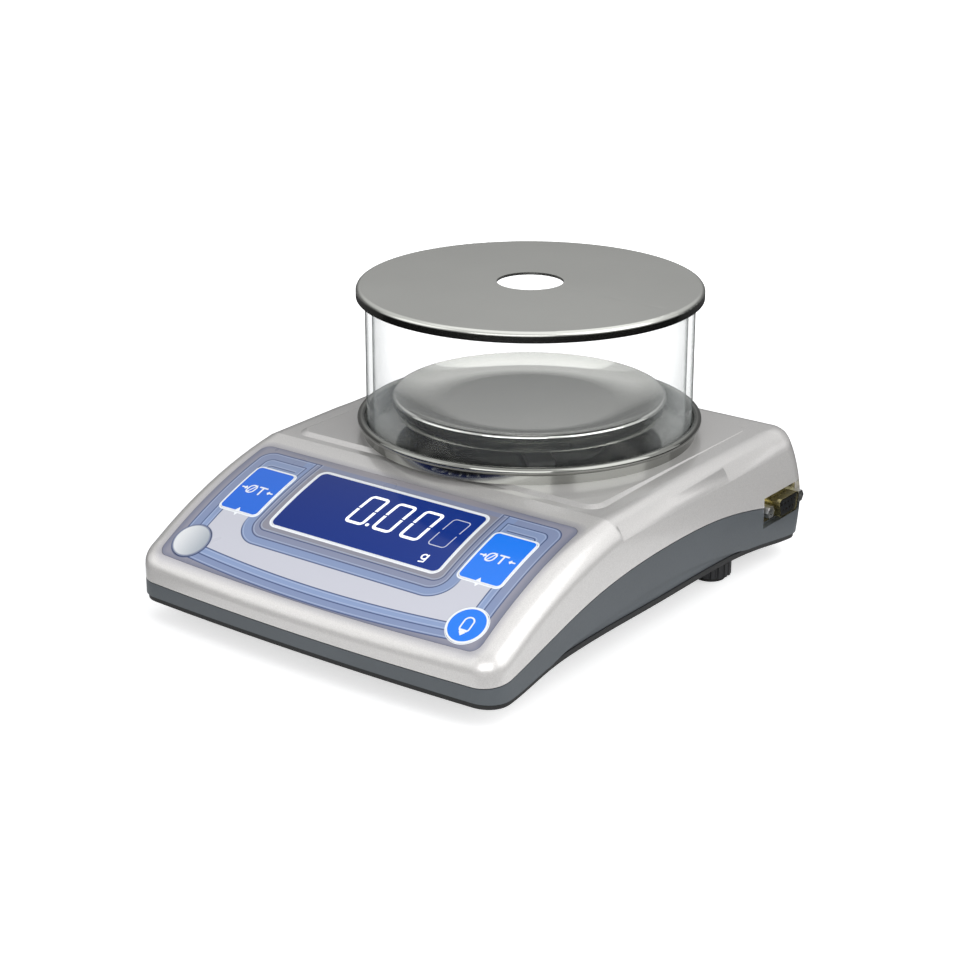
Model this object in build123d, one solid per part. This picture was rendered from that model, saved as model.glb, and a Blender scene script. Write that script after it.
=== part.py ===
from build123d import *
from math import asin, atan2, cos, degrees, hypot, radians, sin, sqrt, tan
import os

# Laboratory balance with a round glass draught shield around its weighing pan.
# Millimetres, +Z up, the display faces -Y and the serial socket is on the +X side.
# The origin is on the table under the middle of the case.

os.makedirs("parts", exist_ok=True)

# Case outline
case_width = 182.0
case_length = 233.0
case_height = 60.0
front_bow = 3.0
corner_radius = 11.0
shoulder_radius = 9.0
crease_y = -34.0
crease_drop = 1.2
front_height = 25.744
panel_radius = 210.2
back_crown = (40.0, 0.3)
back_top = (101.5, 0.1)
back_mid = (110.3, 13.7)
back_widest_z = 25.0
back_tuck_mid = (115.5, 17.0)
back_tuck = (112.4, 4.0)
side_overlap = 0.01
overrun = 30.0

# Raised platform behind the control panel
platform_half_width = 75.0
platform_front_y = -27.7
platform_back_y = 88.0
platform_slope_run = 4.6
platform_slope_drop = 1.9
platform_corner_radius = 5.0
platform_sunk = 3.0

# Shells
wall = 2.5
floor_thickness = 2.2
plate_thickness = 2.2
plate_inset = 0.8
parting_gap = 0.4
lip_height = 2.4
lip_thickness = 1.2
lip_clearance = 0.2
lip_root = 3.0
parting_line = [(-122, 17.0), (-108, 18.4), (-96, 21.3), (-79.4, 25.9), (-55, 32.3), (-29.5, 36.3),
                (6.4, 38.2), (44.8, 36.5), (75.3, 31.1), (100, 26.0), (122, 24.2)]
belly_line = [(-122, 10.2), (-95, 10.2), (-78, 13.4), (-62, 14.7), (0, 14.7), (62, 13.7),
              (80, 11.6), (98, 9.0), (122, 9.0)]
arch_line = [(-84, 13.0), (-69.5, 17.8), (-46.2, 20.6), (-32.4, 21.9), (-3.8, 23.2), (26.2, 21.7),
             (52, 18.2), (72, 14.0)]
arch_depth = 1.5

# Fits and fasteners
screw_fit = 0.05
seat_gap = 0.05
running_gap = 0.3
case_screw_r = 1.5
case_screw_head_r = 2.8
case_screw_head = 2.4
case_screw_length = 22.0
post_r = 3.7
case_screw_sites = [(-82.5, -62.0), (82.5, -62.0), (-60.0, 102.0), (60.0, 102.0)]
case_boss_tops = [27.0, 27.0, 22.0, 22.0]

# Control panel, placed by x and by the distance down the panel from the crease
overlay_thickness = 0.5
overlay_half_width = 80.3
overlay_top = 10.5
overlay_bottom_middle = 84.6
overlay_bottom_corner = 82.4
overlay_corner_radius = 4.0
cutout_gap = 0.15
window_size = (84.8, 35.9)
window_at = 36.0
window_thickness = 1.6
window_corner_radius = 3.0
window_ledge = 1.6
key_size = (20.0, 27.3)
key_corner_radius = 2.2
key_x = 61.0
key_at = 38.9
round_x = 69.6
round_at = 72.6
power_key_r = 8.4
level_r = 8.4
key_proud = 0.3
level_lens = 1.2
level_depth = 8.0
level_wall = 1.2
key_travel = 0.4
key_gap = 0.2
key_depth = 3.8
key_skin = 1.3
key_flange = 1.0
key_flange_thickness = 0.8
plunger_r = 2.0
plunger_gap = 0.8
dome_r = 3.2
dome_height = 0.8

# Display board behind the panel
board_thickness = 1.6
display_board_at = 48.0
display_board_depth = 13.5
display_board_half_width = 76.0
display_board_up = 34.0
display_board_down = 31.0
lcd_size = (90.0, 41.0)
lcd_height = 6.6
lcd_glass_size = (82.0, 33.0)
lcd_glass_thickness = 0.6
display_post_sites = [(-60.0, 29.5), (60.0, 29.5), (-45.0, -26.0), (45.0, -26.0)]
display_post_r = 2.6
board_screw_r = 1.1
board_screw_head_r = 2.1
board_screw_head = 1.4
board_screw_length = 6.0

# Main board on the floor of the case
main_board_size = (116.0, 46.0)
main_board_y = -62.0
main_board_z = 22.4
main_post_sites = [(-53.0, -81.0), (53.0, -81.0), (-53.0, -43.0), (53.0, -43.0)]
main_post_r = 3.0
chips = [(-28.0, -52.0, 18.0, 18.0, 1.6), (6.0, -54.0, 10.0, 14.0, 1.4), (34.0, -50.0, 14.0, 8.0, 5.0)]
capacitors = [(-48.0, -50.0, 4.0, 9.0), (50.0, -56.0, 3.0, 6.0), (20.0, -46.0, 4.0, 9.0)]

# Weighing pan, draught shield and lid, all round the pan axis
pan_y = 33.0
pan_r = 58.0
pan_rise = 16.1
pan_skirt = 7.3
pan_skirt_r = 56.6
pan_sheet = 1.0
pan_depth = 4.1
pan_flat_r = 37.0
pan_rim = 1.2
tray_r = 73.0
tray_sheet = 1.2
tray_bead_r = 1.75
tray_bead_rise = 5.9
glass_r = 69.0
glass_wall = 2.9
glass_fit = 0.4
glass_height = 61.2
lid_r = 72.7
lid_sheet = 1.1
lid_rim = 4.4
lid_crown = 0.9
lid_bend = 1.8
lid_hole_r = 14.0
lid_ring_width = 2.0
lid_ring_height = 2.0
lid_ring_fit = 0.5

# Load path from the pan to the base
collar_r = 17.0
collar_height = 3.0
collar_bore_r = 9.5
cell_size = (26.0, 120.0, 20.0)
cell_drop = 15.5
cell_window = (64.0, 13.0)
cell_end = 20.0
mount_thickness = 4.0
mount_length = 22.0
mount_half = 13.0
arm_width = 28.0
arm_thickness = 4.0
arm_step = 2.5
arm_reach = 15.0
spindle_r = 5.0
spindle_flange = 2.0
cross_rise = 6.0
cross_thickness = 3.2
spindle_in_cross = 1.5
cross_r = 34.0
cross_arm_width = 11.0
cross_hub_r = 9.0
cross_hub_below = 2.0
pad_r = 4.0
pad_ring_r = 28.0
ring_fit = 0.3
ring_wall = 1.2
ring_height = 3.4
carrier_travel = 0.4
cell_screw_r = 2.0
cell_screw_head_r = 3.5
cell_screw_head = 4.0
cell_screw_edge = 5.0
cell_thread = 10.0
cell_seat_drop = 3.0
cell_screw_spacing = 12.0
stop_screw_r = 2.0
stop_screw_length = 6.0
stop_nut = 1.6
stop_gap = 0.6

# Feet
front_foot_at = (64.0, -82.0)
front_foot_r = 7.5
front_foot_top_r = 6.0
front_foot_height = 9.6
front_foot_peg_r = 2.5
front_foot_peg = 3.6
foot_boss_r = 9.0
back_foot_at = (74.0, 63.0)
knob_r = 9.0
knob_z = 2.2
knob_height = 6.0
knob_grips = 18
knob_grip_r = 0.7
foot_pad_r = 6.5
foot_pad_height = 2.0
foot_pin = 3.0
foot_pin_r = 2.0
stud_r = 3.0
stud_top_z = 27.0
insert_r = 4.6
insert_length = 10.0
insert_top_z = 26.5
insert_boss_r = 7.0

# Serial socket in the right side and power inlet in the back
socket_y = 93.0
socket_z = 28.0
socket_flange = (30.8, 12.5)
socket_flange_x = 88.0
socket_flange_thickness = 1.0
socket_shell = (16.9, 8.4)
socket_shell_out = 6.0
socket_shell_wall = 0.5
socket_body = (19.2, 10.4)
socket_body_depth = 8.0
socket_notch_gap = 0.6
socket_pad_depth = 3.0
socket_fit = 0.1
contact_r = 0.55
contact_pitch = 2.77
contact_row = 2.84
contact_depth = 5.0
jack_spacing = 24.99
jack_across = 4.8
jack_length = 4.6
jack_hole_r = 1.42
jack_floor = 0.2
jack_stud_r = 1.4
jack_stud = 2.5
jack_nut_r = 2.4
jack_nut = 1.6
inlet_x = -38.0
inlet_z = 18.9
inlet_r = 4.0
inlet_bore_r = 2.85
inlet_bore_depth = 9.0
inlet_body = (10.0, 10.0, 11.0)
inlet_back_y = 101.0
inlet_out_y = 115.0
inlet_pin_r = 1.05

# Derived from the sizes above
half = case_width / 2
front_y = -case_length / 2
back_y = case_length / 2
crease_z = case_height - crease_drop
panel_fall = crease_z - front_height
panel_run = crease_y - front_y
half_arc = asin(hypot(panel_fall, panel_run) / 2 / panel_radius)
crease_slope = degrees(atan2(panel_fall, panel_run) - half_arc)
panel_y = crease_y + panel_radius * sin(radians(crease_slope))
panel_z = crease_z - panel_radius * cos(radians(crease_slope))
underside_z = case_height - wall
cell_top_z = case_height - cell_drop
cell_z = cell_top_z - cell_size[2]
arm_z = cell_top_z + arm_step
arm_top_z = arm_z + arm_thickness
mount_z = cell_z - mount_thickness
cell_seat_z = mount_z - cell_seat_drop
cross_z = case_height + cross_rise
cross_top_z = cross_z + cross_thickness
spindle_top_z = cross_z + spindle_in_cross
pan_top_z = case_height + pan_rise
pan_floor_z = pan_top_z - pan_depth
pan_under_z = pan_floor_z - pan_sheet
tray_top_z = case_height + tray_sheet
tray_bead_z = case_height + tray_bead_rise
glass_top_z = tray_top_z + glass_height
cell_back_y = pan_y + cell_size[1] / 2
cell_front_y = pan_y - cell_size[1] / 2
stop_y = cell_front_y + cell_screw_edge + 3
stop_seat_z = cell_z - stop_gap
stop_boss_z = stop_seat_z - stop_nut - 1


def panel_point(distance, depth=0.0):
    """Y and Z of the point this far down the panel and this deep under its face."""
    angle = radians(crease_slope) + distance / panel_radius
    radius = panel_radius - depth
    return (panel_y - radius * sin(angle), panel_z + radius * cos(angle))


def panel_plane(x, distance, depth=0.0):
    """Plane that touches the panel there, with its X along +X and its Z outwards."""
    angle = radians(crease_slope) + distance / panel_radius
    y, z = panel_point(distance, depth)
    return Plane(origin=(x, y, z), x_dir=(1, 0, 0), z_dir=(0, -sin(angle), cos(angle)))


def panel_band(top, bottom):
    """Everything between two depths under the panel's curved face."""
    ring = Cylinder(panel_radius - top, case_width) - Cylinder(panel_radius - bottom, case_width)
    return Pos(0, panel_y, panel_z) * Rot(0, 90, 0) * ring


def panel_patch(shape, x, distance, top, bottom):
    """A piece of the panel with this outline, bounded by two depths."""
    prism = extrude(panel_plane(x, distance) * shape, 9, both=True)
    return prism & panel_band(top, bottom)


def side_prism(points, offset, above):
    """Everything above or below a line in the side view."""
    line = Spline([(y, z + offset) for y, z in points])
    far = 200 if above else -60
    edges = [line, Line(line @ 1, (points[-1][0], far)), Line((points[-1][0], far), (points[0][0], far)),
             Line((points[0][0], far), line @ 0)]
    return extrude(Plane.YZ * make_face(edges), case_width, both=True)


def front_form(inset):
    """The case under the control panel's curved face."""
    start_y = front_y - overrun / 5
    start = (start_y, panel_z + sqrt(panel_radius ** 2 - (start_y - panel_y) ** 2))
    end_y = back_y + overrun
    end = (end_y, crease_z + (end_y - crease_y) * tan(radians(crease_slope)))
    panel = ThreePointArc(start, panel_point((crease_y - start_y) / 2), (crease_y, crease_z))
    climb = Line(panel @ 1, end)
    back = Line(end, (end_y, 0))
    low = Line((end_y, 0), (start_y, 0))
    side = make_face([panel, climb, back, low, Line((start_y, 0), start)])
    if inset > 0:
        side = offset(side, -inset, kind=Kind.INTERSECTION)
    reach = half - inset
    bow = ThreePointArc((-reach, front_y + front_bow + inset), (0, front_y + inset),
                        (reach, front_y + front_bow + inset))
    right = Line((reach, front_y + front_bow + inset), (reach, end_y))
    behind = Line((reach, end_y), (-reach, end_y))
    left = Line((-reach, end_y), (-reach, front_y + front_bow + inset))
    plan = make_face([bow, right, behind, left])
    form = extrude(Plane.YZ * side, case_width, both=True) & extrude(plan, end[1])
    form = fillet(form.edges().filter_by(Axis.Z).filter_by(lambda e: (e @ 0.5).Y < 0), corner_radius - inset)
    return fillet([e for e in form.edges() if on_front_rim(e)], shoulder_radius - inset)


def on_front_rim(edge):
    """True for an edge round the top of the front form."""
    start = edge @ 0
    end = edge @ 1
    upright = abs(start.X - end.X) + abs(start.Y - end.Y) < 0.01
    middle = edge @ 0.5
    return middle.Z > 15 and middle.Y < back_y and not upright and abs((edge % 0.5).Z) < 0.9


def back_form(inset):
    """The case under the platform, with its rounded back."""
    crown, end, bulge = [(y, case_height - drop) for y, drop in (back_crown, back_top, back_mid)]
    top = ThreePointArc((crease_y, crease_z), crown, end)
    back = ThreePointArc(top @ 1, bulge, (back_y, back_widest_z))
    tuck = ThreePointArc(back @ 1, back_tuck_mid, back_tuck)
    ahead = front_y - overrun
    slope = top % 0
    lead = Line((ahead, crease_z + (ahead - crease_y) * slope.Y / slope.X), top @ 0)
    low = Line(tuck @ 1, (ahead, back_tuck[1]))
    side = make_face([lead, top, back, tuck, low, Line(low @ 1, lead @ 0)])
    if inset > 0:
        side = offset(side, -inset, kind=Kind.INTERSECTION)
    form = extrude(Plane.YZ * side, half - inset + side_overlap, both=True)
    form = fillet([e for e in form.edges() if on_back_corner(e)], corner_radius - inset)
    return fillet([e for e in form.edges() if on_back_rim(e, inset)], shoulder_radius - inset)


def on_back_corner(edge):
    """True for an edge where the back meets a side."""
    middle = edge @ 0.5
    return middle.Y > back_top[0] and abs(middle.X) > half / 2


def on_back_rim(edge, inset):
    """True for an edge round the top of the back form."""
    middle = edge @ 0.5
    outer = abs(middle.X) > half / 2 or middle.Y > back_top[0] - inset - 2
    return outer and middle.Y > front_y and middle.Z > case_height - inset - 4


def case_form(inset):
    """The outside of the case pulled in by this much on every side."""
    return front_form(inset) & back_form(inset)


def platform():
    """The raised table under the draught shield, whose sloping sides run into the case."""
    length = platform_back_y - platform_front_y
    middle = (platform_back_y + platform_front_y) / 2
    grow = platform_sunk * platform_slope_run / platform_slope_drop
    top = RectangleRounded(2 * platform_half_width, length, platform_corner_radius)
    low = RectangleRounded(2 * (platform_half_width + grow), length + 2 * grow, platform_corner_radius + grow)
    return loft([Pos(0, middle, case_height - platform_sunk) * low, Pos(0, middle, case_height) * top])


def upright(x, y, low_z, high_z, radius):
    """A cylinder along Z between two heights."""
    middle = (low_z + high_z) / 2
    return Pos(x, y, middle) * Cylinder(radius, high_z - low_z)


def block(x_limits, y_limits, z_limits):
    """A box between pairs of limits."""
    size = [high - low for low, high in (x_limits, y_limits, z_limits)]
    middle = [(high + low) / 2 for low, high in (x_limits, y_limits, z_limits)]
    return Pos(*middle) * Box(*size)


def turned(outline):
    """A solid of revolution about the pan axis from a face drawn as radius and height."""
    return Pos(0, pan_y, 0) * revolve(Plane.XZ * outline, Axis.Z)


def ring(inner_r, outer_r, low_z, high_z):
    """A plain ring about the pan axis."""
    return upright(0, pan_y, low_z, high_z, outer_r) - upright(0, pan_y, low_z, high_z, inner_r)


def screw(x, y, seat_z, shank_r, length, head_r, head, up):
    """A screw whose head bears at seat_z and whose shank goes up or down from there."""
    way = 1 if up else -1
    shank = upright(x, y, *sorted((seat_z, seat_z + way * length)), shank_r)
    cap = upright(x, y, *sorted((seat_z, seat_z - way * head)), head_r)
    socket = upright(x, y, *sorted((seat_z - way * head, seat_z - way * head * 0.4)), head_r * 0.5)
    return shank + cap - socket


def belly_z(y):
    """Height of the case's underside at this Y, between the given points."""
    for (y1, z1), (y2, z2) in zip(belly_line, belly_line[1:]):
        if y1 <= y <= y2:
            return z1 + (z2 - z1) * (y - y1) / (y2 - y1)


def overlay_outline(grow):
    """Plan of the printed control panel, seen from above."""
    top_y = panel_point(overlay_top)[0]
    corner_y = panel_point(overlay_bottom_corner)[0]
    middle_y = panel_point(overlay_bottom_middle)[0]
    reach = overlay_half_width
    bow = ThreePointArc((-reach, corner_y), (0, middle_y), (reach, corner_y))
    right = Line((reach, corner_y), (reach, top_y))
    top = Line((reach, top_y), (-reach, top_y))
    face = make_face([bow, right, top, Line((-reach, top_y), (-reach, corner_y))])
    face = fillet(face.vertices(), overlay_corner_radius)
    if grow > 0:
        face = offset(face, grow)
    return face


def window_outline(grow):
    """Outline of the display window."""
    return RectangleRounded(window_size[0] + 2 * grow, window_size[1] + 2 * grow, window_corner_radius + grow)


def key_outline(grow):
    """Outline of a tare key."""
    return RectangleRounded(key_size[0] + 2 * grow, key_size[1] + 2 * grow, key_corner_radius + grow)


def power_outline(grow):
    """Outline of the round power key."""
    return Circle(power_key_r + grow)


def level_outline(grow):
    """Outline of the round level."""
    return Circle(level_r + grow)


def panel_cutouts(top, bottom, gap, window_gap):
    """The holes for the keys, the level and the window, between two depths."""
    cut = panel_patch(key_outline(gap), -key_x, key_at, top, bottom)
    cut += panel_patch(key_outline(gap), key_x, key_at, top, bottom)
    cut += panel_patch(power_outline(gap), round_x, round_at, top, bottom)
    cut += panel_patch(level_outline(gap), -round_x, round_at, top, bottom)
    cut += panel_patch(window_outline(window_gap), 0, window_at, top, bottom)
    return cut


def board_plane():
    """Front face of the display board, with its Z towards the panel."""
    return panel_plane(0, display_board_at, display_board_depth)


def board_meet(distance):
    """Depth and board height where a line square to the panel meets the display board."""
    plane = board_plane()
    face = panel_plane(0, distance)
    fall = (face.origin - plane.origin).dot(plane.z_dir) / face.z_dir.dot(plane.z_dir)
    point = face.origin - face.z_dir * fall
    return fall, plane.to_local_coords(point).Y


def socket_box(x_limits, grow, size):
    """A box about the serial socket's axis."""
    y_limits = (socket_y - size[0] / 2 - grow, socket_y + size[0] / 2 + grow)
    z_limits = (socket_z - size[1] / 2 - grow, socket_z + size[1] / 2 + grow)
    return block(x_limits, y_limits, z_limits)


def socket_pad():
    """The thickened wall that holds the serial socket, before its pocket is cut."""
    inner_x = socket_flange_x - socket_flange_thickness - socket_pad_depth
    return socket_box((inner_x, half), 3, socket_flange) & case_form(wall / 2)


def socket_pocket():
    """Room for the serial socket's flange, body and jack sockets."""
    back_x = socket_flange_x - socket_flange_thickness
    pocket = socket_box((socket_flange_x, half + 5), socket_notch_gap, socket_flange)
    pocket += socket_box((back_x, socket_flange_x), socket_fit, socket_flange)
    pocket += socket_box((back_x - 20, back_x), socket_fit, socket_body)
    for side in (-1, 1):
        y = socket_y + side * jack_spacing / 2
        pocket += Pos(back_x - 2, y, socket_z) * Rot(0, 90, 0) * Cylinder(jack_nut_r + socket_fit, 20)
    return pocket


def top_housing():
    """Pearl upper shell with the panel recess, the platform and the collar."""
    shell = (outside + platform()) - inside
    shell += socket_pad()
    shell &= side_prism(parting_line, 0, True)
    for (x, y), boss_top in zip(case_screw_sites, case_boss_tops):
        post = upright(x, y, boss_top, case_height, post_r) & case_form(wall / 2)
        shell += post
    plane = board_plane()
    for x, up in display_post_sites:
        post = plane * Pos(x, up, display_board_depth / 2) * Cylinder(display_post_r, display_board_depth)
        shell += post & case_form(wall / 2)
    recess = extrude(overlay_outline(cutout_gap), 100) & panel_band(-2, overlay_thickness + seat_gap)
    shell -= recess
    shell -= panel_patch(window_outline(cutout_gap), 0, window_at, -1, window_thickness + seat_gap)
    shell -= panel_cutouts(-1, wall + 2, key_gap, -window_ledge)
    shell += upright(0, pan_y, underside_z, case_height + collar_height, collar_r)
    shell -= upright(0, pan_y, underside_z - 5, case_height + collar_height, collar_bore_r)
    shell -= socket_pocket()
    for (x, y), boss_top in zip(case_screw_sites, case_boss_tops):
        seat_z = belly_z(y) + plate_thickness / 2
        shell -= upright(x, y, boss_top, seat_z + case_screw_length + 1, case_screw_r + screw_fit)
    for x, up in display_post_sites:
        depth = board_screw_length - board_thickness + 1
        shell -= plane * Pos(x, up, depth / 2) * Cylinder(board_screw_r + screw_fit, depth)
    return shell


def base_housing():
    """Dark lower tub with its parting lip, the arched sides and the bosses."""
    low_z = plate_thickness
    under = side_prism(parting_line, -parting_gap, False)
    over_plate = side_prism(belly_line, low_z, True)
    over_floor = side_prism(belly_line, low_z + floor_thickness, True)
    arch = side_prism(arch_line, 0, False)
    high_arch = side_prism(arch_line, floor_thickness, False)
    tub = outside & under & over_plate
    room = inside & over_floor
    set_in = case_form(wall + arch_depth)
    room -= high_arch - set_in
    tub -= room
    tub -= arch - case_form(arch_depth)
    lip_outer = case_form(wall + lip_clearance)
    lip_inner = case_form(wall + lip_clearance + lip_thickness)
    lip_zone = side_prism(parting_line, lip_height, False) & side_prism(parting_line, -lip_root, True)
    lip = (lip_outer - lip_inner) & lip_zone
    tub += lip - socket_box((0, half), 3.5, socket_flange)
    root_zone = side_prism(parting_line, -parting_gap, False) & side_prism(parting_line, -lip_root, True)
    tub += (case_form(wall / 2) - lip_inner) & root_zone
    tub += socket_pad() & under
    for (x, y), boss_top in zip(case_screw_sites, case_boss_tops):
        tub += upright(x, y, 0, boss_top, post_r) & over_plate
    for x, y in main_post_sites:
        tub += upright(x, y, 0, main_board_z, main_post_r) & over_plate
    mount_y = (cell_back_y - mount_length - 2, cell_back_y + 2)
    tub += block((-mount_half, mount_half), mount_y, (0, mount_z)) & over_plate
    tub += upright(0, stop_y, 0, stop_boss_z, stop_screw_r + 3) & over_plate
    for side in (-1, 1):
        x = side * back_foot_at[0]
        y = back_foot_at[1]
        tub += upright(x, y, 0, insert_top_z + 1.5, insert_boss_r) & over_plate
        tub -= upright(x, y, 0, insert_top_z + seat_gap, insert_r + screw_fit)
        tub -= upright(x, y, 0, stud_top_z + 5, stud_r + running_gap)
    tub -= socket_pocket()
    tub -= Pos(inlet_x, back_y, inlet_z) * Rot(90, 0, 0) * Cylinder(inlet_r + screw_fit, 12)
    for (x, y), boss_top in zip(case_screw_sites, case_boss_tops):
        tub -= upright(x, y, 0, boss_top + 1, case_screw_r + screw_fit)
    for x, y in main_post_sites:
        depth = board_screw_length - board_thickness + 1
        tub -= upright(x, y, main_board_z - depth, main_board_z, board_screw_r + screw_fit)
    for y in cell_screw_ys(cell_back_y, -1):
        tub -= upright(0, y, 0, mount_z, cell_screw_r + running_gap)
        tub -= upright(0, y, 0, cell_seat_z, cell_screw_head_r + running_gap)
    tub -= upright(0, stop_y, stop_seat_z - stop_screw_length, stop_boss_z, stop_screw_r + screw_fit)
    return tub


def cell_screw_ys(end_y, way):
    """Y of the two screws at one end of the load cell."""
    first = end_y + way * cell_screw_edge
    return (first, first + way * cell_screw_spacing)


def bottom_plate():
    """Black plate under the case, with a boss for each front foot."""
    under_tub = side_prism(belly_line, plate_thickness, False)
    plate = side_prism(belly_line, 0, True) & under_tub & case_form(plate_inset)
    for side in (-1, 1):
        x, y = side * front_foot_at[0], front_foot_at[1]
        plate += upright(x, y, front_foot_height, 20, foot_boss_r) & under_tub
        plate -= upright(x, y, 0, 20, front_foot_peg_r + screw_fit)
        plate -= upright(side * back_foot_at[0], back_foot_at[1], 0, 20, insert_r + 1)
    for y in cell_screw_ys(cell_back_y, -1):
        plate -= upright(0, y, 0, 20, cell_screw_head_r + 0.5)
    for x, y in case_screw_sites:
        seat_z = belly_z(y) + plate_thickness / 2
        plate -= upright(x, y, 0, 20, case_screw_r + screw_fit)
        plate -= upright(x, y, 0, seat_z, case_screw_head_r + running_gap)
    return plate


def case_screws():
    """Four screws that pull the plate, the tub and the upper shell together."""
    made = []
    for x, y in case_screw_sites:
        seat_z = belly_z(y) + plate_thickness / 2
        made.append(screw(x, y, seat_z, case_screw_r, case_screw_length, case_screw_head_r,
                          case_screw_head, True))
    return Compound(children=made)


def keypad_overlay():
    """Printed film let into the control panel."""
    film = extrude(overlay_outline(0), 100) & panel_band(0, overlay_thickness)
    return film - panel_cutouts(-1, 2, cutout_gap, cutout_gap)


def display_window():
    """Curved pane over the display."""
    return panel_patch(window_outline(0), 0, window_at, 0, window_thickness)


def key_cap(outline, x, distance):
    """A key with its retaining flange and a plunger that ends above its dome."""
    cap = panel_patch(outline(0), x, distance, -key_proud, key_depth)
    cap += panel_patch(outline(key_flange), x, distance, key_depth - key_flange_thickness, key_depth)
    cap -= panel_patch(outline(-key_skin), x, distance, key_skin, key_depth + 2)
    length = board_meet(distance)[0] - dome_height - plunger_gap - key_skin / 2
    cap += panel_plane(x, distance, key_skin / 2) * Pos(0, 0, -length / 2) * Cylinder(plunger_r, length)
    return cap


def key_domes():
    """Metal domes under the three keys."""
    made = []
    for x, distance in ((-key_x, key_at), (key_x, key_at), (round_x, round_at)):
        dome = Cone(dome_r, dome_r * 0.55, dome_height)
        made.append(board_plane() * Pos(x, board_meet(distance)[1], dome_height / 2) * dome)
    return Compound(children=made)


def level_vial():
    """Clear lens of the round spirit level."""
    lens = panel_patch(level_outline(0), -round_x, round_at, -key_proud, level_lens)
    return lens


def level_cup():
    """White cup that holds the level's liquid under the lens."""
    cup = panel_patch(level_outline(0), -round_x, round_at, level_lens, level_depth)
    return cup - panel_patch(level_outline(-level_wall), -round_x, round_at, level_lens - 1, level_depth - 1)


def display_board():
    """Circuit board behind the control panel."""
    height = display_board_up + display_board_down
    middle = (display_board_up - display_board_down) / 2
    board = Pos(0, middle, -board_thickness / 2) * Box(2 * display_board_half_width, height, board_thickness)
    notch_x = level_r + 1 - round_x
    notch_up = board_meet(round_at)[1] + level_r + 1
    board -= block((-display_board_half_width, notch_x), (-display_board_down, notch_up), (-5, 5))
    for x, up in display_post_sites:
        board -= Pos(x, up, 0) * Cylinder(board_screw_r + screw_fit, 10)
    return board_plane() * board


def display_screws():
    """Screws that hold the display board to the upper shell."""
    made = []
    for x, up in display_post_sites:
        made.append(board_plane() * screw(x, up, -board_thickness, board_screw_r, board_screw_length,
                                          board_screw_head_r, board_screw_head, True))
    return Compound(children=made)


def lcd_module():
    """Frame of the liquid crystal display."""
    up = board_meet(window_at)[1]
    frame = Pos(0, up, lcd_height / 2) * Box(lcd_size[0], lcd_size[1], lcd_height)
    seat = Pos(0, up, lcd_height) * Box(lcd_glass_size[0], lcd_glass_size[1], 2 * lcd_glass_thickness)
    return board_plane() * (frame - seat)


def lcd_glass():
    """Glass of the liquid crystal display."""
    up = board_meet(window_at)[1]
    z = lcd_height - lcd_glass_thickness / 2
    size = [side - 2 * cutout_gap for side in lcd_glass_size]
    return board_plane() * Pos(0, up, z) * Box(size[0], size[1], lcd_glass_thickness)


def main_board():
    """Circuit board on the floor of the tub."""
    z = main_board_z + board_thickness / 2
    board = Pos(0, main_board_y, z) * Box(main_board_size[0], main_board_size[1], board_thickness)
    for x, y in main_post_sites:
        board -= Pos(x, y, z) * Cylinder(board_screw_r + screw_fit, 10)
    return board


def main_screws():
    """Screws that hold the main board down."""
    made = []
    for x, y in main_post_sites:
        made.append(screw(x, y, main_board_z + board_thickness, board_screw_r, board_screw_length,
                          board_screw_head_r, board_screw_head, False))
    return Compound(children=made)


def board_parts():
    """Chips, capacitors and a header on the main board."""
    low_z = main_board_z + board_thickness
    made = []
    for x, y, length, width, height in chips:
        made.append(block((x - length / 2, x + length / 2), (y - width / 2, y + width / 2),
                          (low_z, low_z + height)))
    for x, y, radius, height in capacitors:
        made.append(upright(x, y, low_z, low_z + height, radius))
    return Compound(children=made)


def load_cell():
    """Aluminium beam with the double hole that lets its ends move in parallel."""
    beam = Pos(0, pan_y, cell_z + cell_size[2] / 2) * Box(*cell_size)
    slot = Plane.YZ * SlotOverall(cell_window[0], cell_window[1])
    beam -= Pos(0, pan_y, cell_z + cell_size[2] / 2) * extrude(slot, cell_size[0], both=True)
    for y in cell_screw_ys(cell_back_y, -1):
        beam -= upright(0, y, cell_z, cell_z + cell_thread, cell_screw_r + screw_fit)
    for y in cell_screw_ys(cell_front_y, 1):
        beam -= upright(0, y, cell_top_z - cell_thread, cell_top_z, cell_screw_r + screw_fit)
    return beam


def cell_mount():
    """Steel pad between the tub and the fixed end of the load cell."""
    pad = block((-mount_half, mount_half), (cell_back_y - mount_length, cell_back_y), (mount_z, cell_z))
    for y in cell_screw_ys(cell_back_y, -1):
        pad -= upright(0, y, mount_z, cell_z, cell_screw_r + screw_fit)
    return pad


def cell_screws():
    """Screws up into the fixed end of the load cell."""
    length = cell_z + cell_thread - 1 - cell_seat_z
    made = []
    for y in cell_screw_ys(cell_back_y, -1):
        made.append(screw(0, y, cell_seat_z, cell_screw_r, length, cell_screw_head_r, cell_screw_head, True))
    return Compound(children=made)


def stop_screw():
    """Overload stop under the free end of the load cell."""
    shank = upright(0, stop_y, stop_seat_z - stop_screw_length, stop_seat_z, stop_screw_r)
    nut = Pos(0, stop_y, stop_boss_z + stop_nut / 2) * extrude(RegularPolygon(stop_screw_r * 1.75, 6), stop_nut / 2,
                                                             both=True)
    return shank + nut


def carrier_arm():
    """Arm from the free end of the load cell back to the pan axis."""
    reach = (cell_front_y, pan_y + arm_reach)
    arm = block((-arm_width / 2, arm_width / 2), reach, (arm_z, arm_top_z))
    arm += block((-arm_width / 2, arm_width / 2), (cell_front_y, cell_front_y + mount_length), (cell_top_z, arm_z))
    arm = fillet(arm.edges().filter_by(Axis.Z), 3)
    arm -= upright(0, pan_y, arm_z, arm_top_z, spindle_r + screw_fit)
    for y in cell_screw_ys(cell_front_y, 1):
        arm -= upright(0, y, cell_top_z, arm_top_z, cell_screw_r + screw_fit)
    return arm


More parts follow.
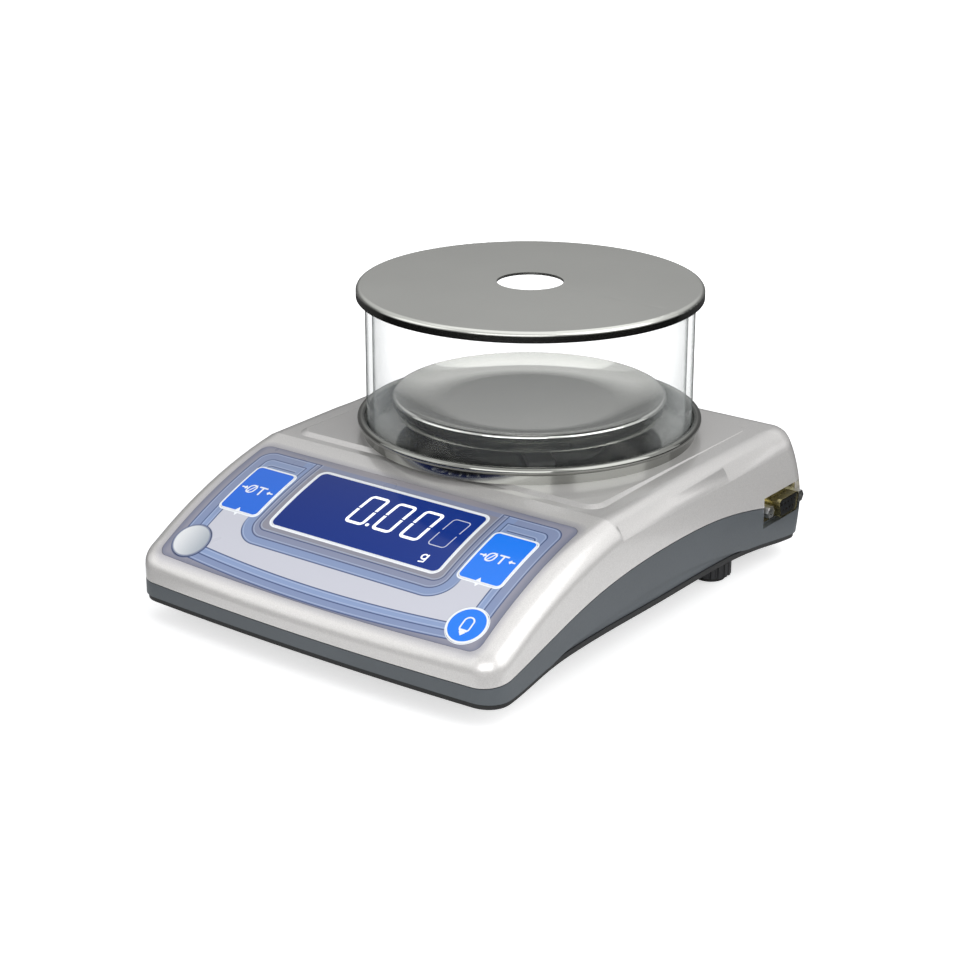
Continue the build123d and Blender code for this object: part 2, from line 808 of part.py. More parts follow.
def arm_screws():
    """Screws down into the free end of the load cell."""
    length = arm_top_z - cell_top_z + cell_thread - 1
    made = []
    for y in cell_screw_ys(cell_front_y, 1):
        made.append(screw(0, y, arm_top_z, cell_screw_r, length, cell_screw_head_r, cell_screw_head * 0.9, False))
    return Compound(children=made)


def spindle():
    """Steel post from the arm up through the collar."""
    post = upright(0, pan_y, arm_z + 0.5, spindle_top_z, spindle_r)
    return post + upright(0, pan_y, arm_top_z, arm_top_z + spindle_flange, spindle_r + 3)


def pan_cross():
    """Cast cross on the spindle that carries the pan."""
    cross = Box(2 * cross_r, cross_arm_width, cross_thickness) + Box(cross_arm_width, 2 * cross_r, cross_thickness)
    cross = Pos(0, pan_y, cross_z + cross_thickness / 2) * Rot(0, 0, 45) * cross
    cross &= upright(0, pan_y, cross_z, cross_top_z, cross_r)
    cross += upright(0, pan_y, cross_z - cross_hub_below, cross_top_z, cross_hub_r)
    cross -= upright(0, pan_y, cross_z - cross_hub_below, spindle_top_z, spindle_r + screw_fit)
    return cross


def pan_pads():
    """Four rubber pads between the cross and the pan."""
    made = []
    for spot in PolarLocations(pad_ring_r, 4, 45):
        x, y = spot.position.X, spot.position.Y + pan_y
        made.append(upright(x, y, cross_top_z, pan_under_z, pad_r))
    return Compound(children=made)


def weighing_pan():
    """Dished steel pan with a short skirt."""
    rise = pan_top_z - pan_floor_z
    run = pan_r - pan_rim - pan_flat_r
    bend = (run * run + rise * rise) / (2 * rise)
    middle_z = pan_floor_z + bend
    angle = asin(run / bend)
    inner_run = pan_r - pan_sheet - 0.3 - pan_flat_r
    inner_angle = asin(inner_run / (bend + pan_sheet))
    skirt_z = pan_top_z - pan_skirt

    def dish(radius, turn):
        return (pan_flat_r + radius * sin(turn), middle_z - radius * cos(turn))

    under_end = dish(bend + pan_sheet, inner_angle)
    floor = Line((0, pan_floor_z), (pan_flat_r, pan_floor_z))
    curve = ThreePointArc(floor @ 1, dish(bend, angle / 2), dish(bend, angle))
    rim = ThreePointArc(curve @ 1, (pan_r - pan_rim * 0.29, pan_top_z - pan_rim * 0.29),
                        (pan_r, pan_top_z - pan_rim))
    skirt = Line(rim @ 1, (pan_skirt_r, skirt_z))
    hem = Line(skirt @ 1, (pan_skirt_r - pan_sheet, skirt_z))
    inner = Line(hem @ 1, under_end)
    under = ThreePointArc(under_end, dish(bend + pan_sheet, inner_angle / 2), (pan_flat_r, pan_under_z))
    back = Line(under @ 1, (0, pan_under_z))
    return turned(make_face([floor, curve, rim, skirt, hem, inner, under, back, Line(back @ 1, floor @ 0)]))


def pan_ring():
    """Ring under the pan that centres it on the cross."""
    inner_r = cross_r + ring_fit
    return ring(inner_r, inner_r + ring_wall, pan_under_z - ring_height, pan_under_z)


def draft_tray():
    """Steel tray with a rolled rim that holds the glass."""
    inner_r = glass_r + glass_fit
    floor = Pos((collar_r + running_gap + inner_r + tray_sheet) / 2, case_height + tray_sheet / 2)
    profile = floor * Rectangle(inner_r + tray_sheet - collar_r - running_gap, tray_sheet)
    wall_height = tray_bead_z - case_height
    profile += Pos(inner_r + tray_sheet / 2, case_height + wall_height / 2) * Rectangle(tray_sheet, wall_height)
    profile += Pos(tray_r - tray_bead_r, tray_bead_z) * Circle(tray_bead_r)
    return turned(profile)


def glass_cylinder():
    """Glass wall of the draught shield."""
    return ring(glass_r - glass_wall, glass_r, tray_top_z, glass_top_z)


def shield_lid():
    """Slightly domed steel lid with a turned down rim and a round hole."""
    top_z = glass_top_z + lid_sheet
    rim_z = top_z - lid_rim
    flat_r = glass_r - glass_wall - lid_ring_fit - lid_ring_width - 1
    bend = lid_bend
    top = ThreePointArc((lid_hole_r, top_z + lid_crown), (flat_r * 0.6, top_z + lid_crown * 0.72),
                        (lid_r - bend, top_z))
    edge = ThreePointArc(top @ 1, (lid_r - bend * 0.29, top_z - bend * 0.29), (lid_r, top_z - bend))
    outer = Line(edge @ 1, (lid_r, rim_z))
    hem = Line(outer @ 1, (lid_r - lid_sheet, rim_z))
    inner = Line(hem @ 1, (lid_r - lid_sheet, glass_top_z))
    seat = Line(inner @ 1, (flat_r, glass_top_z))
    under = ThreePointArc(seat @ 1, (flat_r * 0.55, glass_top_z + lid_crown * 0.7), (lid_hole_r, glass_top_z + lid_crown))
    return turned(make_face([top, edge, outer, hem, inner, seat, under, Line(under @ 1, top @ 0)]))


def lid_ring():
    """Plastic ring under the lid that keeps it on the glass."""
    outer_r = glass_r - glass_wall - lid_ring_fit
    return ring(outer_r - lid_ring_width, outer_r, glass_top_z - lid_ring_height, glass_top_z)


def front_foot(side):
    """Rubber foot with a peg through the bottom plate."""
    x, y = side * front_foot_at[0], front_foot_at[1]
    foot = Pos(x, y, front_foot_height / 2) * Cone(front_foot_r, front_foot_top_r, front_foot_height)
    return foot + upright(x, y, front_foot_height, front_foot_height + front_foot_peg, front_foot_peg_r)


def foot_insert(side):
    """Brass thread pressed into the tub for a levelling foot."""
    x, y = side * back_foot_at[0], back_foot_at[1]
    sleeve = upright(x, y, insert_top_z - insert_length, insert_top_z, insert_r)
    return sleeve - upright(x, y, insert_top_z - insert_length, insert_top_z, stud_r + screw_fit)


def foot_knob(side):
    """Knurled wheel and threaded stud of a levelling foot."""
    x, y = side * back_foot_at[0], back_foot_at[1]
    knob = upright(x, y, knob_z, knob_z + knob_height, knob_r)
    for spot in PolarLocations(knob_r, knob_grips):
        knob -= upright(x + spot.position.X, y + spot.position.Y, knob_z, knob_z + knob_height, knob_grip_r)
    knob += upright(x, y, knob_z + knob_height, stud_top_z, stud_r)
    return knob - upright(x, y, knob_z, foot_pad_height + foot_pin, foot_pin_r + screw_fit)


def foot_pad(side):
    """Rubber pad that stays still on the table while its knob turns."""
    x, y = side * back_foot_at[0], back_foot_at[1]
    pad = upright(x, y, 0, foot_pad_height, foot_pad_r)
    return pad + upright(x, y, foot_pad_height, foot_pad_height + foot_pin, foot_pin_r)


def shell_outline(grow):
    """D shape of the serial socket, with its long side on top."""
    long = socket_shell[0] / 2 + grow
    tall = socket_shell[1] / 2 + grow
    short = long - socket_shell[1] * tan(radians(10))
    face = make_face(Polyline((-long, tall), (long, tall), (short, -tall), (-short, -tall), close=True))
    return fillet(face.vertices(), 2.0 + grow)


def socket_plane(x):
    """Plane across the serial socket's axis, with its Z out of the case."""
    return Plane(origin=(x, socket_y, socket_z), x_dir=(0, 1, 0), z_dir=(1, 0, 0))


def serial_shell():
    """Plated flange and D shaped shell of the serial socket."""
    plane = socket_plane(socket_flange_x)
    flange = extrude(plane * RectangleRounded(socket_flange[0], socket_flange[1], 1.0), -socket_flange_thickness)
    shell = extrude(plane * shell_outline(0), socket_shell_out)
    shell -= extrude(plane * shell_outline(-socket_shell_wall), socket_shell_out)
    made = flange + shell
    for side in (-1, 1):
        made -= plane * Pos(side * jack_spacing / 2, 0, 0) * Cylinder(jack_stud_r + screw_fit, 5)
    return made


def serial_body():
    """Black insulator of the serial socket with its nine contact holes."""
    plane = socket_plane(socket_flange_x)
    back = socket_plane(socket_flange_x - socket_flange_thickness)
    face = extrude(plane * shell_outline(-socket_shell_wall - seat_gap), socket_shell_out - 0.4)
    for row, count in ((1, 5), (-1, 4)):
        for number in range(count):
            y = (number - (count - 1) / 2) * contact_pitch
            spot = Pos(y, row * contact_row / 2, socket_shell_out - 0.4 - contact_depth / 2)
            face -= plane * spot * Cylinder(contact_r, contact_depth)
    rear = extrude(back * Rectangle(socket_body[0], socket_body[1]), -socket_body_depth)
    return Compound(children=[face, rear])


def jack_sockets():
    """Two hexagonal posts that take a plug's screws."""
    plane = socket_plane(socket_flange_x)
    hole_plane = socket_plane(socket_flange_x + jack_floor)
    made = []
    for side in (-1, 1):
        spot = Pos(side * jack_spacing / 2, 0, 0)
        post = extrude(plane * spot * RegularPolygon(jack_across / 2, 6, major_radius=False), jack_length)
        post -= extrude(hole_plane * spot * Circle(jack_hole_r), jack_length)
        post += extrude(plane * spot * Circle(jack_stud_r), -jack_stud)
        nut_x = -socket_flange_thickness - jack_nut / 2
        post += plane * spot * Pos(0, 0, nut_x) * Cylinder(jack_nut_r, jack_nut)
        made.append(post)
    return Compound(children=made)


def power_inlet():
    """Round low voltage inlet in the back of the tub."""
    barrel = Pos(inlet_x, (inlet_back_y + inlet_out_y) / 2, inlet_z) * Rot(90, 0, 0)
    barrel *= Cylinder(inlet_r, inlet_out_y - inlet_back_y)
    body = block((inlet_x - inlet_body[0] / 2, inlet_x + inlet_body[0] / 2),
                 (inlet_back_y, inlet_back_y + inlet_body[1]),
                 (inlet_z - inlet_body[2] / 2, inlet_z + inlet_body[2] / 2))
    bore = Pos(inlet_x, inlet_out_y - inlet_bore_depth / 2, inlet_z) * Rot(90, 0, 0)
    bore *= Cylinder(inlet_bore_r, inlet_bore_depth)
    return barrel + body - bore


def inlet_pin():
    """Centre contact of the power inlet."""
    length = inlet_bore_depth - 1.5
    y = inlet_out_y - inlet_bore_depth + length / 2
    return Pos(inlet_x, y, inlet_z) * Rot(90, 0, 0) * Cylinder(inlet_pin_r, length)


def save(shape, node):
    """Write one node as STEP."""
    export_step(shape, "parts/" + node + ".step")


outside = case_form(0)
inside = case_form(wall)

save(top_housing(), "top_housing")
save(base_housing(), "base_housing")
save(bottom_plate(), "bottom_plate")
save(case_screws(), "case_screws")
save(keypad_overlay(), "keypad_overlay")
save(display_window(), "display_window")
save(key_cap(key_outline, -key_x, key_at), "left_tare_key")
save(key_cap(key_outline, key_x, key_at), "right_tare_key")
save(key_cap(power_outline, round_x, round_at), "power_key")
save(key_domes(), "key_domes")
save(level_vial(), "level_vial")
save(level_cup(), "level_cup")
save(display_board(), "display_board")
save(display_screws(), "display_screws")
save(lcd_module(), "lcd_module")
save(lcd_glass(), "lcd_glass")
save(main_board(), "main_board")
save(main_screws(), "main_screws")
save(board_parts(), "board_parts")
save(load_cell(), "load_cell")
save(cell_mount(), "cell_mount")
save(cell_screws(), "cell_screws")
save(stop_screw(), "stop_screw")
save(carrier_arm(), "carrier_arm")
save(arm_screws(), "arm_screws")
save(spindle(), "spindle")
save(pan_cross(), "pan_cross")
save(pan_pads(), "pan_pads")
save(weighing_pan(), "weighing_pan")
save(pan_ring(), "pan_ring")
save(draft_tray(), "draft_tray")
save(glass_cylinder(), "glass_cylinder")
save(shield_lid(), "shield_lid")
save(lid_ring(), "lid_ring")
save(serial_shell(), "serial_shell")
save(serial_body(), "serial_body")
save(jack_sockets(), "jack_sockets")
save(power_inlet(), "power_inlet")
save(inlet_pin(), "inlet_pin")
for side, name in ((-1, "left"), (1, "right")):
    save(front_foot(side), name + "_front_foot")
    save(foot_insert(side), name + "_foot_insert")
    save(foot_knob(side), name + "_foot_knob")
    save(foot_pad(side), name + "_foot_pad")
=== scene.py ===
# %% [markdown]
# # A laboratory balance with a glass draught shield
# The solids come from the imported CAD model, in metres, with the origin on the table under the middle of
# the case. This file gives each of them its finish, adds the small pieces that a CAD model leaves out,
# and sets up the studio.

# %% Load the frame
import math

import bpy
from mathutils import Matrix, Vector


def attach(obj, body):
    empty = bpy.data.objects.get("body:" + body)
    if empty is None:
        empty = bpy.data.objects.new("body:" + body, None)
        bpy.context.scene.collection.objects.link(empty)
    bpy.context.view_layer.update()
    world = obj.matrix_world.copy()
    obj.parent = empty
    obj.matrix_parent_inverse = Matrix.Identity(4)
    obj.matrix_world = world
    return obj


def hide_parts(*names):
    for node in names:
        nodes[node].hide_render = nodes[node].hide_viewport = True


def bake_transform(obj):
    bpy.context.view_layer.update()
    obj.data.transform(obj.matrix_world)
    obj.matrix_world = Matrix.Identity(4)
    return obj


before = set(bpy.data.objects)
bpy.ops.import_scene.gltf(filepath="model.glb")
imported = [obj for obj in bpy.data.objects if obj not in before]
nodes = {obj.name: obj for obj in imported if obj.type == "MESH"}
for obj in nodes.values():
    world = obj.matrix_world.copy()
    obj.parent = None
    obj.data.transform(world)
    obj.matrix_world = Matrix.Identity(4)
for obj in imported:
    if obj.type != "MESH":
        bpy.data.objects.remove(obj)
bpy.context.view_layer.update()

# %% [markdown]
# ## The camera
# The photograph was taken from the right of the front with a long lens, so the sides stay almost
# parallel. The values below come from fitting the round shield and the corners of the case to the
# picture.

# %% Camera
camera_data = bpy.data.cameras.new("camera")
camera_data.lens = 82.95
camera_data.sensor_width = 36
camera_data.clip_start = 0.05
camera = bpy.data.objects.new("camera", camera_data)
camera.location = (0.51963, -0.69208, 0.36648)
camera.rotation_euler = (math.radians(90 - 20.33), 0, math.radians(36.97))
bpy.context.collection.objects.link(camera)
bpy.context.scene.camera = camera
bpy.context.scene.view_settings.view_transform = "Standard"
print("camera distance", round(camera.location.length, 3))

# %% [markdown]
# ## Shader maths as expressions
# A printed panel is easiest to describe as distances to outlines. Field wraps one output socket and
# turns Python's operators into Math nodes, and Finish holds one material. A colour or a number that is
# the same all over is set straight on the shader's own socket, and only what varies is linked.


# %% A field and a finish
class Field:
    """A number that varies over a surface."""

    def __init__(self, finish, socket):
        self.finish = finish
        self.socket = socket

    def calc(self, operation, *others):
        return self.finish.calc(operation, self, *others)

    def __add__(self, other):
        return self.calc("ADD", other)

    def __radd__(self, other):
        return self.calc("ADD", other)

    def __sub__(self, other):
        return self.calc("SUBTRACT", other)

    def __rsub__(self, other):
        return self.finish.calc("SUBTRACT", other, self)

    def __mul__(self, other):
        return self.calc("MULTIPLY", other)

    def __rmul__(self, other):
        return self.calc("MULTIPLY", other)

    def __truediv__(self, other):
        return self.calc("DIVIDE", other)

    def __neg__(self):
        return self.calc("MULTIPLY", -1)

    def __abs__(self):
        return self.calc("ABSOLUTE")

    def most(self, other):
        return self.calc("MAXIMUM", other)

    def least(self, other):
        return self.calc("MINIMUM", other)

    def clamped(self):
        return self.finish.add("ShaderNodeClamp", {}, {0: self})


class Finish:
    """A material: its Principled shader and the nodes that vary its sockets."""

    def __init__(self, name, color, roughness, **constants):
        self.material = bpy.data.materials.new(name)
        self.material.use_nodes = True
        self.tree = self.material.node_tree
        self.shader = self.tree.nodes["Principled BSDF"]
        self.put("Base Color", srgb(color))
        self.put("Roughness", roughness)
        for socket, value in constants.items():
            self.put(socket.replace("_", " "), value)

    def put(self, name, value):
        self.feed(self.shader.inputs[name], value)

    def feed(self, socket, value):
        if isinstance(value, Field):
            self.tree.links.new(value.socket, socket)
        else:
            socket.default_value = value

    def add(self, kind, settings, sockets, out=0):
        node = self.tree.nodes.new(kind)
        for name, value in settings.items():
            setattr(node, name, value)
        for key, value in sockets.items():
            self.feed(node.inputs[key], value)
        return Field(self, node.outputs[out])

    def calc(self, operation, *values):
        return self.add("ShaderNodeMath", {"operation": operation}, dict(enumerate(values)))

    def mix(self, mask, low, high):
        return self.add("ShaderNodeMix", {"data_type": "RGBA"}, {0: mask, 6: low, 7: high}, 2)

    def place(self):
        """X, Y and Z on the object, in millimetres."""
        coords = self.add("ShaderNodeTexCoord", {}, {}, "Object")
        return [self.add("ShaderNodeSeparateXYZ", {}, {0: coords}, axis) * 1000 for axis in range(3)]

    def vector(self, x, y, z):
        return self.add("ShaderNodeCombineXYZ", {}, {0: x, 1: y, 2: z})

    def noise(self, vector, scale, detail=3.0):
        """Smooth random values about 0.5, at a scale per unit of the vector."""
        return self.add("ShaderNodeTexNoise", {}, {"Vector": vector, "Scale": scale, "Detail": detail})

    def grain(self, scale, detail=3.0):
        """Noise in space, with its scale per metre."""
        coords = self.add("ShaderNodeTexCoord", {}, {}, "Object")
        return self.noise(coords, scale, detail)

    def bump(self, height, distance, strength=1.0):
        sockets = {"Height": height, "Distance": distance, "Strength": strength}
        normal = self.add("ShaderNodeBump", {}, sockets)
        self.put("Normal", normal)


def srgb(text):
    """A colour written as in a picture, as the linear values that a socket holds."""
    parts = [int(text[i:i + 2], 16) / 255 for i in (0, 2, 4)]
    return tuple(v / 12.92 if v <= 0.04045 else ((v + 0.055) / 1.055) ** 2.4 for v in parts) + (1.0,)


def wear(finish, *names):
    """Gives CAD nodes this finish."""
    for name in names:
        slots = nodes[name].material_slots
        if not slots:
            nodes[name].data.materials.append(finish.material)
        for entry in slots:
            entry.material = finish.material
    print(finish.material.name, "on", ", ".join(names))


# %% [markdown]
# ## Outlines as distances
# The control panel is a part of a cylinder, so a point on it is named by X and by the distance down the
# panel from the crease, both in millimetres. The outlines of keys, windows and frames are rounded
# boxes: the formula gives the distance to the edge, negative inside, and a narrow ramp across zero
# gives a clean printed edge.

# %% Panel measures and masks
PANEL_RADIUS = 210.2
CREASE_SLOPE = math.radians(9.63)
CREASE_Y = -34.0
CREASE_Z = 58.8
PANEL_Y = CREASE_Y + PANEL_RADIUS * math.sin(CREASE_SLOPE)
PANEL_Z = CREASE_Z - PANEL_RADIUS * math.cos(CREASE_SLOPE)
EDGE = 0.16


def panel_place(finish):
    """X and the distance down the panel from the crease, in millimetres."""
    x, y, z = finish.place()
    turn = finish.calc("ARCTAN2", PANEL_Y - y, z - PANEL_Z)
    return x, (turn - CREASE_SLOPE) * PANEL_RADIUS


def rounded_box(x, y, middle, half, radius):
    """Distance to a rounded box, negative inside."""
    out_x = abs(x - middle[0]) - (half[0] - radius)
    out_y = abs(y - middle[1]) - (half[1] - radius)
    far_x = out_x.most(0)
    far_y = out_y.most(0)
    return (far_x * far_x + far_y * far_y).calc("SQRT") + out_x.most(out_y).least(0) - radius


def disc(x, y, middle, radius):
    """Distance to a circle, negative inside."""
    gap_x = x - middle[0]
    gap_y = y - middle[1]
    return (gap_x * gap_x + gap_y * gap_y).calc("SQRT") - radius


def stroke(x, y, start, end, width):
    """Distance to a straight pen stroke with round ends."""
    run = (end[0] - start[0], end[1] - start[1])
    gap_x = x - start[0]
    gap_y = y - start[1]
    along = ((gap_x * run[0] + gap_y * run[1]) / (run[0] ** 2 + run[1] ** 2)).clamped()
    off_x = gap_x - along * run[0]
    off_y = gap_y - along * run[1]
    return (off_x * off_x + off_y * off_y).calc("SQRT") - width / 2


def inside(distance, soft=EDGE):
    """1 inside an outline and 0 outside it."""
    return (0.5 - distance / soft).clamped()


def line(distance, width, soft=EDGE):
    """1 on a line that follows an outline."""
    return inside(abs(distance) - width / 2, soft)


print("panel arc centre", round(PANEL_Y, 2), round(PANEL_Z, 2))

# %% [markdown]
# ## Pearl housing
# The upper shell is moulded plastic with a pearl silver paint: a pale warm grey with fine metal flakes
# under a clear coat. The flakes are a very small noise in the colour, and a slow noise keeps the gloss
# from looking computed. Round the printed film the paint is a little darker: painted shade at the edge
# of the film's recess.

# %% Pearl paint
FILM_HALF = 80.3
FILM_TOP = 10.5
FILM_BOTTOM = 84.6
FILM_BOW = 0.00034
FILM_CORNER = 4.0
FILM_SHADE = 3.4
PEARL = "c9c7c4"


def film_edge(x, down):
    """Distance to the outline of the printed film."""
    bottom = FILM_BOTTOM - x * x * FILM_BOW
    middle = (bottom + FILM_TOP) / 2
    half = (FILM_HALF, (FILM_BOTTOM - FILM_TOP) / 2)
    return rounded_box(x, down - middle, (0, 0), half, FILM_CORNER)


def pearl_paint():
    finish = Finish("pearl_paint", PEARL, 0.34, Metallic=0.3, Coat_Weight=0.6, Coat_Roughness=0.09)
    flakes = finish.grain(2600.0, 1.0)
    patches = finish.grain(9.0, 2.0)
    color = finish.mix(flakes, srgb("bcbab8"), srgb("dcdad8"))
    x, down = panel_place(finish)
    edge = film_edge(x, down)
    # Painted shade: the paint darkens within FILM_SHADE millimetres of the film's recess.
    shade = (1 - edge / FILM_SHADE).clamped() * 0.55
    on_panel = (down - FILM_TOP + 4).clamped()
    finish.put("Base Color", finish.mix(shade * on_panel, color, srgb("8d8c9a")))
    finish.put("Roughness", 0.26 + patches * 0.1)
    finish.bump(flakes, 0.00001, 0.2)
    return finish


wear(pearl_paint(), "top_housing")

# %% [markdown]
# ## Dark tub, black plate and other plain plastics
# The tub is unpainted plastic with a fine spark texture, so it has no clear reflections. One short
# function makes such moulded plastics: a base colour, a slight change of tone over centimetres, and a
# fine bump.


# %% Moulded plastics
def moulded(name, color, roughness, texture=900.0, depth=0.00004):
    finish = Finish(name, color, roughness)
    base = Vector(srgb(color)[:3])
    dark = tuple(base * 0.88) + (1.0,)
    light = tuple(base * 1.12) + (1.0,)
    finish.put("Base Color", finish.mix(finish.grain(30.0, 4.0), dark, light))
    spark = finish.grain(texture, 2.0)
    finish.put("Roughness", roughness - 0.06 + spark * 0.12)
    finish.bump(spark, depth, 0.5)
    return finish


wear(moulded("tub_plastic", "4f5458", 0.46), "base_housing")
wear(moulded("plate_plastic", "0f1011", 0.55), "bottom_plate", "lcd_module", "lid_ring")
wear(moulded("socket_plastic", "121315", 0.42, 2000.0, 0.00002), "serial_body", "power_inlet")
wear(moulded("knob_plastic", "1a1b1d", 0.5), "left_foot_knob", "right_foot_knob")
wear(moulded("foot_rubber", "151515", 0.78, 600.0, 0.00006), "left_front_foot", "right_front_foot",
     "left_foot_pad", "right_foot_pad", "pan_pads")
wear(moulded("white_plastic", "e4e6e8", 0.35), "level_cup")

# %% [markdown]
# ## Steel
# The lid, the pan and the tray are spun from stainless steel sheet and polished on the lathe, so the
# finest marks run round the pan's axis. The noise is read at the radius, stretched along the turn, and
# it changes the roughness and a very shallow bump. Spun sheet is never quite flat either: a dish of a
# few tenths of a millimetre, too shallow to model, makes a reflection drift over the lid, and so it is
# added to the bump. Below a given height the lid's colour is made dark: a painted dark reflection on
# its turned edge and underside.

# %% Spun steel
PAN_Y = 33.0
MARK_HEIGHT = 0.0006
DISH_SPREAD = 5000.0


def spun_steel(name, color, roughness, marks=0.04, dish=0.0, painted_dark_below=0.0):
    finish = Finish(name, color, roughness, Metallic=1.0)
    x, y, z = finish.place()
    off_y = y - PAN_Y
    radius = (x * x + off_y * off_y).calc("SQRT")
    turn = finish.calc("ARCTAN2", off_y, x)
    rings = finish.noise(finish.vector(radius * 1.6, turn * 0.5, z * 1.6), 1.0, 2.0)
    clouds = finish.grain(22.0, 3.0)
    base = Vector(srgb(color)[:3])
    dark = tuple(base * 0.92) + (1.0,)
    light = tuple(base * 1.06) + (1.0,)
    painted_dark_reflection = tuple(base * 0.22) + (1.0,)
    polished = finish.mix(clouds, dark, light)
    # Below the given height the colour is a painted dark reflection.
    finish.put("Base Color", finish.mix(inside(z - painted_dark_below, 0.5), polished, painted_dark_reflection))
    finish.put("Roughness", roughness - marks / 2 + rings * marks)
    bowl = radius * radius * (dish / DISH_SPREAD)
    finish.bump(rings * MARK_HEIGHT + bowl, 0.001)
    return finish


wear(spun_steel("lid_steel", "c4c5c0", 0.2, dish=1.6, painted_dark_below=122.2), "shield_lid")
wear(spun_steel("pan_steel", "cbccc8", 0.07, marks=0.03), "weighing_pan", "pan_ring")
wear(spun_steel("tray_steel", "898a86", 0.08, marks=0.0), "draft_tray")
wear(spun_steel("spindle_steel", "b4b4b4", 0.3), "spindle")

# %% [markdown]
# ## Glass
# The ring is clear glass about three millimetres thick. Seen across its wall it hardly shows, and at
# its sides, where one looks along the wall, it turns pale between two thin grey lines. Layer Weight
# gives that: the surface is nearly open where it faces the viewer, paler where it turns away, and grey
# only at its very edge. The flat rims above and below are ground, so they show a little more.

# %% Clear glass
def clear_glass():
    finish = Finish("clear_glass", "f2f7f6", 0.03, IOR=1.5)
    facing = finish.add("ShaderNodeLayerWeight", {}, {"Blend": 0.5}, "Facing")
    edge = ((facing - 0.8) / 0.12).clamped()
    rise = ((facing - 0.35) / 0.5).clamped()
    normal = finish.add("ShaderNodeNewGeometry", {}, {}, "Normal")
    rim = ((abs(finish.add("ShaderNodeSeparateXYZ", {}, {0: normal}, "Z")) - 0.5) * 4).clamped()
    # The grey lines and the pale band at the sides, where the wall is seen edge on, are painted reflection.
    finish.put("Base Color", finish.mix(edge.most(rim), srgb("e9edec"), srgb("8b918f")))
    finish.put("Alpha", (0.025 + rise * 0.25 + edge * 0.5 + rim * 0.3).clamped())
    dust = finish.grain(60.0, 3.0)
    finish.put("Roughness", 0.015 + dust * 0.03)
    return finish


wear(clear_glass(), "glass_cylinder")

# %% [markdown]
# ## Printed film
# The film over the control panel carries the grey and blue frames round the display and the keys. The
# colours are laid on in order, as a printer would: each mask is a distance to a rounded outline. A
# light line beside each dark one is a painted highlight, for the glint on the edge of an embossed print.
# The lower bands curve with the front of the case: bend() adds to the distance down the panel towards
# the sides, where the bands run higher.

# %% Printed film
WINDOW_HALF = (42.4, 17.95)
WINDOW_AT = 36.0
KEY_HALF = (10.0, 13.65)
KEY_X = 61.0
KEY_AT = 38.9
ROUND_X = 69.6
ROUND_AT = 72.6
ROUND_R = 8.4
WHITE = srgb("f4f7fb")
BAND_EDGE = srgb("45547c")
PAINTED_GLINT = srgb("b4c2dc")
# Each frame's middle, half size and corner radius.
OUTER_FRAME = ((0, 49.0), (76.3, 34.9), 6.0)
SECOND_FRAME = ((0, 49.4), (71.7, 30.9), 3.5)
SILVER_FIELD = ((0, 49.8), (68.0, 26.8), 1.6)
NEAR_FRAME = ((0, 0.0), (46.6, 57.9), 4.5)
MIDDLE_FRAME = ((0, 0.0), (49.2, 61.8), 7.5)
FAR_FRAME = ((0, 0.0), (53.8, 65.9), 11.5)
FRAME_START = 14.0
BRACKET_AT = 51.4
BRACKET_START = 18.5
BRACKET_END = 52.0
LOWER_START = 56.0
BAND_BOW = 0.0008


def bend(x, down):
    """Distance down the panel, corrected so that the curved lower bands become straight."""
    return down + x * x * BAND_BOW * ((down - LOWER_START) / 16).clamped()


